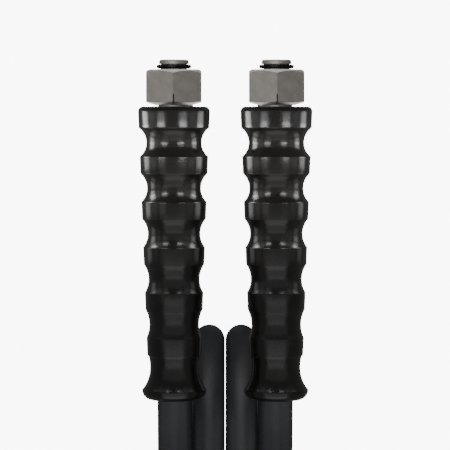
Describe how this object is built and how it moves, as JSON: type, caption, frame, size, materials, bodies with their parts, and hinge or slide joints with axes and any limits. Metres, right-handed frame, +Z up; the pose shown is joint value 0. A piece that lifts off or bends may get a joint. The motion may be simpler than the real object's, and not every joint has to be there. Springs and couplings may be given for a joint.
{
  "type": "pressure washer hose",
  "caption": "High-pressure hose folded in half and tied in a hank, with a ribbed bend-protection grip, a hexagon swivel nut and a sealed cone nipple at each end.",
  "frame": {"origin": "middle of the front tie's underside, on the floor that the hank lies on", "axes": "+Y along both grips, from the hose to the nuts; +X to the right as the picture shows it; +Z up from the floor"},
  "size_m": [0.123, 0.6075, 0.1586],
  "materials": {
    "plated_steel": "fine matt blasted zinc plate",
    "seal_rubber": "smooth",
    "grip_moulding": "glossy moulded",
    "hose_rubber": "satin",
    "tie_webbing": "woven"
  },
  "bodies": {
    "hose": {"nipple_left": "plated_steel", "nipple_right": "plated_steel", "ferrule_left": "plated_steel", "ferrule_right": "plated_steel", "seal_ring_left": "seal_rubber", "seal_ring_right": "seal_rubber", "grip_left": "grip_moulding", "grip_right": "grip_moulding", "hose_end_left": "hose_rubber", "hose_end_right": "hose_rubber", "hose_lead_left": "hose_rubber", "hose_lead_right": "hose_rubber", "hose_middle": "hose_rubber", "hank_loop_left": "hose_rubber", "hank_loop_right": "hose_rubber", "front_tie": "tie_webbing", "back_tie": "tie_webbing"},
    "nut_left": {"swivel_nut_left": "plated_steel"},
    "nut_right": {"swivel_nut_right": "plated_steel"}
  },
  "joints": [
    {"name": "nut_left_swivel", "type": "hinge", "parent": "hose", "child": "nut_left", "pos_m": [-0.0252, 0.2275, 0.141], "axis": [0, 1, 0], "continuous": true},
    {"name": "nut_right_swivel", "type": "hinge", "parent": "hose", "child": "nut_right", "pos_m": [0.0252, 0.2275, 0.141], "axis": [0, 1, 0], "continuous": true}
  ]
}
